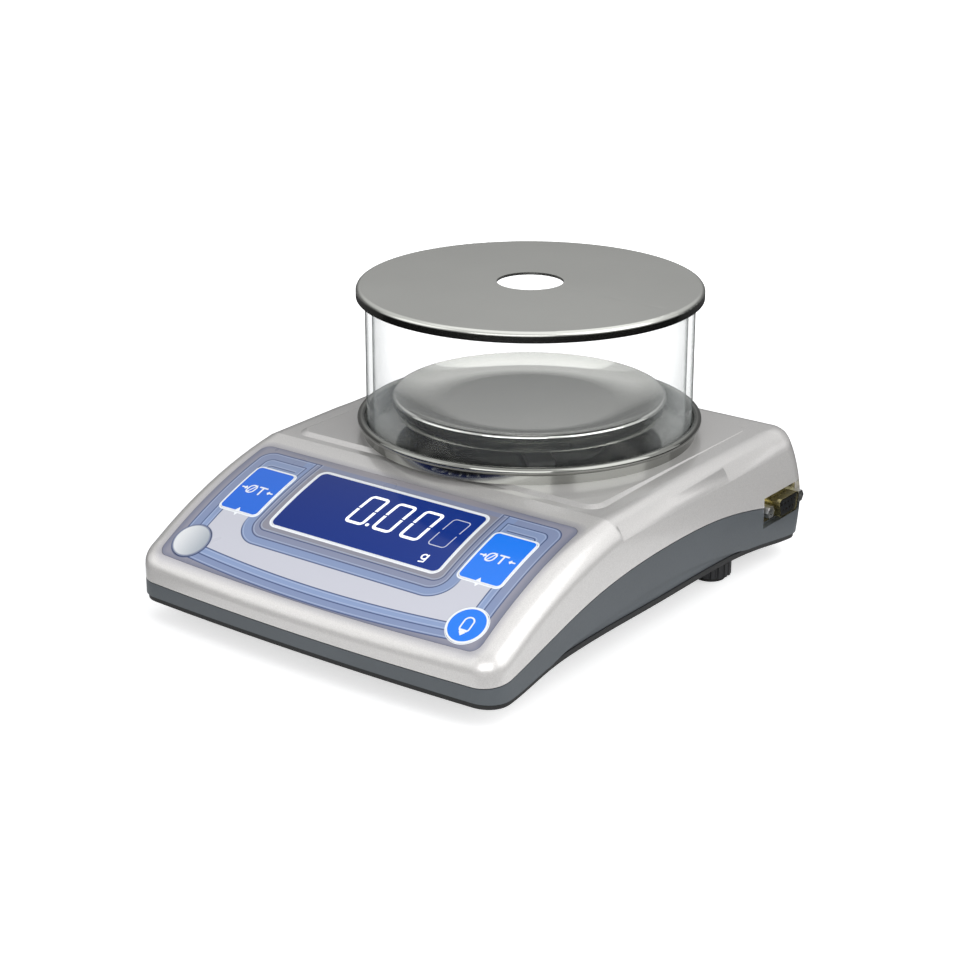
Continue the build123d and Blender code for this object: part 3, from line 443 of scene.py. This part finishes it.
def printed_film():
    finish = Finish("printed_film", "9a97a0", 0.3, Specular_IOR_Level=0.3, Coat_Weight=0.15,
                    Coat_Roughness=0.15)
    x, down = panel_place(finish)
    side = abs(x)
    level = bend(x, down)
    outer = rounded_box(x, level, *OUTER_FRAME)
    second = rounded_box(x, level, *SECOND_FRAME)
    silver = rounded_box(x, level, *SILVER_FIELD)
    near = rounded_box(x, down, *NEAR_FRAME)
    middle = rounded_box(x, down, *MIDDLE_FRAME)
    far = rounded_box(x, down, *FAR_FRAME)
    window = rounded_box(x, down, (0, WINDOW_AT), WINDOW_HALF, 3.0)
    key = rounded_box(side, down, (KEY_X, KEY_AT), KEY_HALF, 2.2)
    power = disc(x, down, (ROUND_X, ROUND_AT), ROUND_R)
    vial = disc(x, down, (-ROUND_X, ROUND_AT), ROUND_R)
    aside = inside(45.0 - side, 1.2)
    lower = inside(LOWER_START - down, 8.0)
    start = inside(FRAME_START - down)
    ends = inside(NEAR_FRAME[1][0] - side, 0.3)
    beside_bracket = inside(BRACKET_AT - side, 0.3)
    beside_far = inside(54.0 - side, 0.3)

    def frames(shift, width):
        """The lines along the frames, moved inwards by shift."""
        drawn = line(outer + shift, width) * lower.most(ends)
        drawn = drawn.most(line(second + shift, width) * lower.most(beside_bracket))
        drawn = drawn.most(line(silver - shift, width) * lower.most(beside_far) * (1 - inside(far)))
        drawn = drawn.most(line(near + shift, width) * start)
        drawn = drawn.most(line(middle + shift, width) * start)
        drawn = drawn.most(line(far + shift, width) * lower)
        bracket = line(side - BRACKET_AT - shift, width)
        return drawn.most(bracket * inside(BRACKET_START - down) * inside(down - BRACKET_END))

    warm = inside(side - 40.0, 30.0) * inside(down - 15.0, 8.0)
    # Darker within a few millimetres of the film's edge.
    color = finish.mix(inside(film_edge(x, down) + 1.5, 3.0), srgb("74788c"), srgb("8f8f9d"))
    color = finish.mix(warm, color, srgb("99959a"))
    color = finish.mix(inside(outer) * aside, color, srgb("8490b0"))
    color = finish.mix(inside(second) * aside, color, srgb("8798bc"))
    color = finish.mix(inside(outer) * lower, color, srgb("8190b4"))
    color = finish.mix(inside(second) * lower, color, srgb("8a9dc4"))
    color = finish.mix(inside(silver) * inside(48.0 - down, 2.0), color, srgb("cbccd6"))
    color = finish.mix(inside(far) * lower.most(start), color, srgb("8496bc"))
    color = finish.mix(inside(middle) * start, color, srgb("858ca6"))
    color = finish.mix(inside(near) * inside(16.6 - down), color, srgb("8c8c98"))
    # Painted highlight: a light line beside each dark one stands for the glint on the embossed edge.
    color = finish.mix(frames(0.75, 0.4) * 0.55, color, PAINTED_GLINT)
    dark_lines = frames(0.0, 0.5)
    color = finish.mix(dark_lines, color, BAND_EDGE)
    color = finish.mix(line(vial - 0.2, 0.6, 0.4), color, BAND_EDGE)
    notch = (abs(side - KEY_X) * 1.7 + abs(down - KEY_AT - KEY_HALF[1])) - 2.3
    white = inside(key - 0.85).most(inside(notch))
    white = white.most(inside(window - 1.15))
    white = white.most(inside(power - 0.45))
    color = finish.mix(white, color, WHITE)
    finish.put("Base Color", color)
    haze = finish.grain(45.0, 2.0)
    finish.put("Roughness", 0.24 + haze * 0.1)
    finish.bump(dark_lines, 0.00003, 0.25)
    return finish


wear(printed_film(), "keypad_overlay")

# %% [markdown]
# ## Keys
# Each key is a blue area of the same film. The tare keys carry the usual sign for zero and tare between
# two arrows, and the round key a stand-by sign. The signs are strokes and rings, whose distances are
# joined by taking the least of them.


# %% Blue keys
def tare_key(name, middle_x, color):
    finish = Finish(name, color, 0.3, Specular_IOR_Level=0.25, Coat_Weight=0.1, Coat_Roughness=0.12)
    x, down = panel_place(finish)
    x = x - middle_x
    down = down - KEY_AT
    rim = rounded_box(x, down, (0, 0), KEY_HALF, 2.2)
    zero = abs(rounded_box(x + down * 0.15, down, (-3.0, 0.2), (1.75, 2.3), 1.7)) - 0.35
    slash = stroke(x, down, (-4.1, 2.4), (-1.7, -2.2), 0.55)
    tee = stroke(x, down, (0.2, -2.0), (3.9, -2.0), 0.8)
    tee = tee.least(stroke(x, down, (2.1, -2.0), (2.0, 2.3), 0.85))
    bars = stroke(x, down, (-7.9, 0.1), (-6.9, 0.1), 0.7)
    bars = bars.least(stroke(x, down, (7.9, 0.1), (6.9, 0.1), 0.7))
    heads = (abs(abs(x) - 6.1) + abs(down - 0.1) * 0.9) - 0.95
    sign = zero.least(slash).least(tee).least(bars).least(heads)
    notch = (abs(x) * 1.7 + abs(down - KEY_HALF[1])) - 2.3
    white = inside(sign, 0.25).most(inside(notch)).most(inside(-rim - 0.35))
    tone = finish.grain(30.0, 2.0)
    base = Vector(srgb(color)[:3])
    blue = finish.mix(tone, tuple(base * 0.93) + (1.0,), tuple(base * 1.07) + (1.0,))
    finish.put("Base Color", finish.mix(white, blue, WHITE))
    finish.put("Roughness", 0.24 + tone * 0.1)
    return finish


def round_key():
    finish = Finish("round_key", "1c7df0", 0.3, Specular_IOR_Level=0.25, Coat_Weight=0.1,
                    Coat_Roughness=0.12)
    x, down = panel_place(finish)
    x = x - ROUND_X
    down = down - ROUND_AT
    rim = disc(x, down, (0, 0), ROUND_R)
    ring = abs(rounded_box(x, down, (0, -0.1), (2.1, 3.5), 2.1)) - 0.32
    foot = (abs(x) * 1.1 + abs(down - 3.6)) - 1.5
    bar = stroke(x, down, (-1.3, 2.5), (1.3, 2.5), 0.7)
    white = inside(ring.least(foot).least(bar), 0.25).most(inside(-rim - 0.75))
    tone = finish.grain(30.0, 2.0)
    blue = finish.mix(tone, srgb("1a78ea"), srgb("1f83f7"))
    finish.put("Base Color", finish.mix(white, blue, WHITE))
    finish.put("Roughness", 0.24 + tone * 0.1)
    return finish


# Both tare keys are the same blue: the left one has a darker blue as painted shade and the right one a
# lighter blue as painted light, as the lamps fall from the right.
wear(tare_key("left_key_blue_painted_shade", -KEY_X, "1769dc"), "left_tare_key")
wear(tare_key("right_key_blue_painted_light", KEY_X, "1a7df4"), "right_tare_key")
wear(round_key(), "power_key")

# %% [markdown]
# ## Display
# The liquid crystal display is lit from behind: navy where the crystals are dark, white where a segment
# is clear. The digits repeat, so one rounded ring is folded over the pitch between them. They lean a
# little, the sides are parted at mid height, and the last digit is only faintly on.

# %% Display window
DIGIT_PITCH = 13.7
DIGIT_HALF = (4.1, 8.4)
FIRST_DIGIT = -7.7
DIGIT_AT = 32.7


def display_print():
    finish = Finish("display_pane", "14307c", 0.12, Specular_IOR_Level=0.12, Emission_Strength=0.5)
    x, down = panel_place(finish)
    window = rounded_box(x, down, (0, WINDOW_AT), WINDOW_HALF, 3.0)
    up = down - DIGIT_AT
    lean = x + up * 0.085 - FIRST_DIGIT
    number = ((lean / DIGIT_PITCH + 0.5).calc("FLOOR"))
    fold = lean - number * DIGIT_PITCH
    segment = abs(rounded_box(fold, up, (0, 0), DIGIT_HALF, 1.6)) - 0.7
    parted = segment.most(0.35 - abs(up))
    lit = inside(-0.5 - number, 0.2) * inside(number - 2.5, 0.2)
    faint = line(number - 3.0, 0.5, 0.2)
    thin = (abs(rounded_box(fold, up, (0, 0), DIGIT_HALF, 1.6)) - 0.22).most(0.9 - abs(up))
    point = disc(x, down, (-1.9, DIGIT_AT + 7.7), 0.85)
    bowl = abs(disc(x, down, (32.4, 48.0), 1.25)) - 0.32
    stem = stroke(x, down, (33.8, 46.7), (33.5, 50.4), 0.6)
    tail = stroke(x, down, (33.5, 50.6), (31.4, 50.9), 0.6)
    bright = inside(parted) * lit
    bright = bright.most(inside(point.least(bowl).least(stem).least(tail)))
    bright = bright.most(inside(thin) * faint * 0.45)
    # Painted light: the navy is a little lighter towards the right, where the lamps fall.
    painted_light_across = ((x + 42) / 84).clamped()
    navy = finish.mix(painted_light_across, srgb("0f2a72"), srgb("12307c"))
    rim = inside(-window - 0.3)
    color = finish.mix(bright.most(rim), navy, WHITE)
    finish.put("Base Color", color)
    glow = finish.mix(rim, srgb("081c58"), srgb("000000"))
    finish.put("Emission Color", finish.mix(bright, glow, WHITE))
    finish.put("Roughness", 0.08 + finish.grain(50.0, 2.0) * 0.08)
    return finish


wear(display_print(), "display_window")

# %% [markdown]
# ## Level
# The round level at the left has a domed clear lens over a white cup. From outside it reads as a pale
# silver disc with a slightly darker rim, and painted shade darkens it towards the right.


# %% Level lens
def level_lens():
    finish = Finish("level_lens", "c9ced2", 0.16, Coat_Weight=0.5, Coat_Roughness=0.05)
    x, down = panel_place(finish)
    rim = disc(x, down, (-ROUND_X, ROUND_AT), ROUND_R)
    # Painted shade: the lens turns darker towards the right.
    painted_shade_across = ((x + ROUND_X + 6) / 14).clamped()
    color = finish.mix(painted_shade_across, srgb("e4e6e8"), srgb("9fa8b2"))
    color = finish.mix(inside(-rim - 0.6, 0.5), color, srgb("76809a"))
    finish.put("Base Color", color)
    finish.put("Roughness", 0.12 + finish.grain(60.0, 2.0) * 0.08)
    return finish


wear(level_lens(), "level_vial")

# %% [markdown]
# ## Metals and boards inside
# Small turned or cast parts have their own metals. A circuit board shows copper tracks under its green
# lacquer, which a stepped noise along two directions suggests well enough for a part that is mostly
# hidden.


# %% Inner metals and boards
def metal(name, color, roughness, scale=400.0):
    finish = Finish(name, color, roughness, Metallic=1.0)
    marks = finish.grain(scale, 4.0)
    base = Vector(srgb(color)[:3])
    dark = tuple(base * 0.85) + (1.0,)
    light = tuple(base * 1.1) + (1.0,)
    finish.put("Base Color", finish.mix(marks, dark, light))
    finish.put("Roughness", roughness - 0.05 + marks * 0.1)
    finish.bump(marks, 0.00002, 0.3)
    return finish


def circuit_board():
    finish = Finish("circuit_board", "0f5a2c", 0.35, Coat_Weight=0.4, Coat_Roughness=0.2)
    x, y, z = finish.place()
    weave = finish.noise(finish.vector(x * 0.5, y * 0.12, z * 0.12), 1.0, 0.0)
    tracks = line(weave - 0.5, 0.02, 0.01)
    finish.put("Base Color", finish.mix(tracks, srgb("0d4a26"), srgb("2d7d4a")))
    finish.bump(tracks, 0.00003, 0.6)
    return finish


wear(metal("plated_steel", "b9bbbd", 0.3), "case_screws", "display_screws", "main_screws", "cell_screws",
     "arm_screws", "stop_screw", "inlet_pin", "cell_mount")
wear(metal("bright_nickel", "e4e5e4", 0.3, 900.0), "jack_sockets")
wear(metal("tinned_shell", "a39b74", 0.26, 300.0), "serial_shell")
wear(metal("dome_metal", "c9c2a8", 0.25), "key_domes")
wear(metal("milled_aluminium", "c6c8ca", 0.36), "load_cell", "carrier_arm", "pan_cross")
wear(metal("brass", "c39a4a", 0.3), "left_foot_insert", "right_foot_insert")
wear(circuit_board(), "display_board", "main_board")
wear(moulded("chip_plastic", "1c1d20", 0.45, 1500.0, 0.00002), "board_parts")
wear(moulded("crystal_glass", "1b2c5c", 0.15), "lcd_glass")

# %% [markdown]
# ## Contact sleeves
# The serial socket has nine gilt sleeves in its holes. One is turned up from a circle: it is drawn out
# to its length, and its mouth is inset and sunk. The other eight are copies with
# their own mesh.

# %% Sleeves in the serial socket
SOCKET_Y = 0.093
SOCKET_Z = 0.028
SLEEVE_BACK = 0.0888
SLEEVE_LENGTH = 0.0043
SLEEVE_R = 0.00048
SLEEVE_WALL = 0.00016
SLEEVE_PITCH = 0.00277
SLEEVE_ROW = 0.00284


def pick_faces(piece, wanted):
    """In edit mode, selects only the faces for which wanted(face) is true."""
    bpy.ops.mesh.select_mode(type="FACE")
    bpy.ops.mesh.select_all(action="DESELECT")
    bpy.ops.object.mode_set(mode="OBJECT")
    for face in piece.data.polygons:
        face.select = wanted(face)
    bpy.ops.object.mode_set(mode="EDIT")


def sleeve():
    bpy.ops.object.select_all(action="DESELECT")
    bpy.ops.mesh.primitive_circle_add(vertices=20, radius=SLEEVE_R, fill_type="NGON",
                                      location=(SLEEVE_BACK, SOCKET_Y, SOCKET_Z),
                                      rotation=(0, math.pi / 2, 0))
    piece = bpy.context.object
    bpy.ops.object.transform_apply(location=True, rotation=True, scale=True)
    bpy.ops.object.mode_set(mode="EDIT")
    bpy.ops.mesh.select_all(action="SELECT")
    bpy.ops.mesh.extrude_region_move(TRANSFORM_OT_translate={"value": (SLEEVE_LENGTH, 0, 0)})
    bpy.ops.mesh.inset(thickness=SLEEVE_WALL)
    bpy.ops.mesh.extrude_region_move(TRANSFORM_OT_translate={"value": (-SLEEVE_LENGTH * 0.8, 0, 0)})
    bpy.ops.mesh.select_all(action="SELECT")
    bpy.ops.mesh.normals_make_consistent(inside=False)
    bpy.ops.object.mode_set(mode="OBJECT")
    return piece


def contact_sleeves():
    first = sleeve()
    made = []
    for row, count in ((1, 5), (-1, 4)):
        for number in range(count):
            piece = first if not made else first.copy()
            if made:
                piece.data = first.data.copy()
                bpy.context.collection.objects.link(piece)
            piece.location = (0, (number - (count - 1) / 2) * SLEEVE_PITCH, row * SLEEVE_ROW / 2)
            made.append(piece)
    bpy.ops.object.select_all(action="DESELECT")
    for piece in made:
        piece.select_set(True)
    bpy.context.view_layer.objects.active = first
    bpy.ops.object.transform_apply(location=True, rotation=True, scale=True)
    bpy.ops.object.join()
    first.name = "serial_contacts"
    bpy.ops.object.shade_smooth_by_angle(angle=math.radians(40))
    return first


contacts = contact_sleeves()
contacts.data.materials.append(metal("gilt_sleeve", "d9b45c", 0.25, 900.0).material)
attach(contacts, "case")
print("sleeves", len(contacts.data.polygons), "faces")

# %% [markdown]
# ## Load cell
# One end of the load cell is screwed to the case and the other carries the pan. The visible block is a
# copy of the solid with its doubled points merged, and the solid itself is hidden.


def bending_cell():
    bpy.ops.object.select_all(action="DESELECT")
    piece = nodes["load_cell"].copy()
    piece.data = nodes["load_cell"].data.copy()
    piece.name = "load_cell_block"
    piece.parent = None
    piece.matrix_world = nodes["load_cell"].matrix_world
    bpy.context.collection.objects.link(piece)
    piece.select_set(True)
    bpy.context.view_layer.objects.active = piece
    bpy.ops.object.transform_apply(location=True, rotation=True, scale=True)
    bpy.ops.object.mode_set(mode="EDIT")
    bpy.ops.mesh.select_all(action="SELECT")
    bpy.ops.mesh.remove_doubles(threshold=0.000001)
    bpy.ops.object.mode_set(mode="OBJECT")
    return piece


cell = bending_cell()
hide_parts("load_cell")
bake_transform(cell)
print("load cell", len(cell.data.vertices), "points")

# %% [markdown]
# ## Studio
# The photograph is cut out on white. Here the floor is a large pale sheet, and both it and the world
# look white to the camera and in reflections, while the light on the object comes from soft lamps: a
# large one high on the right, one low at the right of the front, a weaker one at the left and one
# overhead. Cards stand where only shiny surfaces see them, as a photographer does with polished steel:
# a dark one on the floor, which draws the rims dark, a grey one that curves behind and grows lighter
# upwards, and a bright one on top of that, which draws the crests light.


# %% Floor, world and lamps
RING_IN = 0.17
RING_OUT = 0.9
BEHIND = 126.9
CARD_SPREAD = 75
CARD_SEAM = 0.42


def set_world(level):
    """A dim world that lights the object, and plain white for the camera, glass and reflections."""
    world = bpy.data.worlds.new("studio")
    bpy.context.scene.world = world
    world.use_nodes = True
    tree = world.node_tree
    dim = tree.nodes["Background"]
    dim.inputs["Color"].default_value = (0.95, 0.97, 1.0, 1)
    dim.inputs["Strength"].default_value = level
    white = tree.nodes.new("ShaderNodeBackground")
    white.inputs["Color"].default_value = (1, 1, 1, 1)
    path = tree.nodes.new("ShaderNodeLightPath")
    seen = path.outputs["Is Camera Ray"]
    for ray in ("Is Transmission Ray", "Is Glossy Ray"):
        either = tree.nodes.new("ShaderNodeMath")
        either.operation = "MAXIMUM"
        tree.links.new(seen, either.inputs[0])
        tree.links.new(path.outputs[ray], either.inputs[1])
        seen = either.outputs[0]
    mix = tree.nodes.new("ShaderNodeMixShader")
    tree.links.new(seen, mix.inputs[0])
    tree.links.new(dim.outputs[0], mix.inputs[1])
    tree.links.new(white.outputs[0], mix.inputs[2])
    tree.links.new(mix.outputs[0], tree.nodes["World Output"].inputs["Surface"])


def lay_floor():
    bpy.ops.object.select_all(action="DESELECT")
    bpy.ops.mesh.primitive_plane_add(size=8.0, location=(0, 0, 0))
    floor = bpy.context.object
    floor.name = "floor"
    paper = Finish("floor_paper", "eeeeee", 0.9, Emission_Strength=1.0)
    x, y, z = paper.place()
    away = (((x * x + y * y).calc("SQRT") - 220) / 400).clamped()
    seen = paper.add("ShaderNodeLightPath", {}, {}, "Is Camera Ray")
    # Painted light: for the camera only the floor glows, weaker near the case so that the lamps' shadow
    # still shows there, and white farther out.
    glow = paper.mix(away, (0.55, 0.55, 0.55, 1), (1.1, 1.1, 1.1, 1))
    paper.put("Emission Color", paper.mix(seen, (0, 0, 0, 1), glow))
    floor.data.materials.append(paper.material)


def card(name, piece, low, high, bottom, top):
    """Makes a piece a glowing card that only reflections see, from low at its bottom to high at its top."""
    piece.name = name
    glow = Finish(name, "000000", 1.0, Specular_IOR_Level=0.0, Emission_Strength=1.0)
    x, y, z = glow.place()
    rise = ((z - bottom) / (top - bottom)).clamped()
    glow.put("Emission Color", glow.mix(rise, (low, low, low, 1), (high, high, high, 1)))
    piece.data.materials.append(glow.material)
    piece.visible_camera = False
    piece.visible_diffuse = False
    piece.visible_transmission = False
    piece.visible_shadow = False


def ring_card():
    """A flat ring on the floor, from just outside the case outwards."""
    bpy.ops.object.select_all(action="DESELECT")
    bpy.ops.mesh.primitive_circle_add(vertices=64, radius=RING_OUT, fill_type="NGON",
                                      location=(0, 0, 0.002))
    piece = bpy.context.object
    bpy.ops.object.transform_apply(location=True, rotation=True, scale=True)
    bpy.ops.object.mode_set(mode="EDIT")
    bpy.ops.mesh.select_all(action="SELECT")
    bpy.ops.mesh.inset(thickness=RING_OUT - RING_IN)
    bpy.ops.mesh.delete(type="FACE")
    bpy.ops.object.mode_set(mode="OBJECT")
    return piece


def arc_card(radius, bottom, top, middle, spread):
    """A wall on an arc round the pan's axis, its middle and its spread either way in degrees."""
    bpy.ops.object.select_all(action="DESELECT")
    bpy.ops.mesh.primitive_circle_add(vertices=180, radius=radius, fill_type="NOTHING",
                                      location=(0, PAN_Y / 1000, bottom))
    piece = bpy.context.object
    bpy.ops.object.transform_apply(location=True, rotation=True, scale=True)
    bpy.ops.object.mode_set(mode="EDIT")
    bpy.ops.mesh.select_all(action="SELECT")
    bpy.ops.mesh.extrude_region_move(TRANSFORM_OT_translate={"value": (0, 0, top - bottom)})

    def off(face):
        turn = math.degrees(math.atan2(face.center.y - PAN_Y / 1000, face.center.x))
        return abs((turn - middle + 180) % 360 - 180) > spread

    pick_faces(piece, off)
    bpy.ops.mesh.delete(type="FACE")
    bpy.ops.object.mode_set(mode="OBJECT")
    return piece


def lamp(name, place, size, power):
    """A soft rectangular lamp that looks at the object."""
    data = bpy.data.lights.new(name, "AREA")
    data.shape = "RECTANGLE"
    data.size, data.size_y = size
    data.energy = power
    made = bpy.data.objects.new(name, data)
    made.location = place
    aim = Vector((0, 0, 0.05)) - Vector(place)
    made.rotation_euler = aim.to_track_quat("-Z", "Y").to_euler()
    bpy.context.collection.objects.link(made)


set_world(0.35)
lay_floor()
card("dark_card", ring_card(), 0.02, 0.02, 0, 1)
card("grey_card", arc_card(0.45, 0.0, CARD_SEAM, BEHIND, CARD_SPREAD), 0.2, 0.8, 180, 320)
card("crest_card", arc_card(0.46, CARD_SEAM, 0.6, BEHIND, CARD_SPREAD), 1.3, 1.3, 0, 1)
lamp("high_right", (1.3, 0.1, 0.9), (1.5, 1.5), 14)
lamp("front_right", (0.6, -1.3, 0.35), (1.4, 0.9), 11)
lamp("front_left", (-1.2, -1.3, 0.9), (1.4, 1.4), 5)
lamp("overhead", (0.0, 0.3, 1.6), (2.2, 2.2), 8)
print("studio ready")
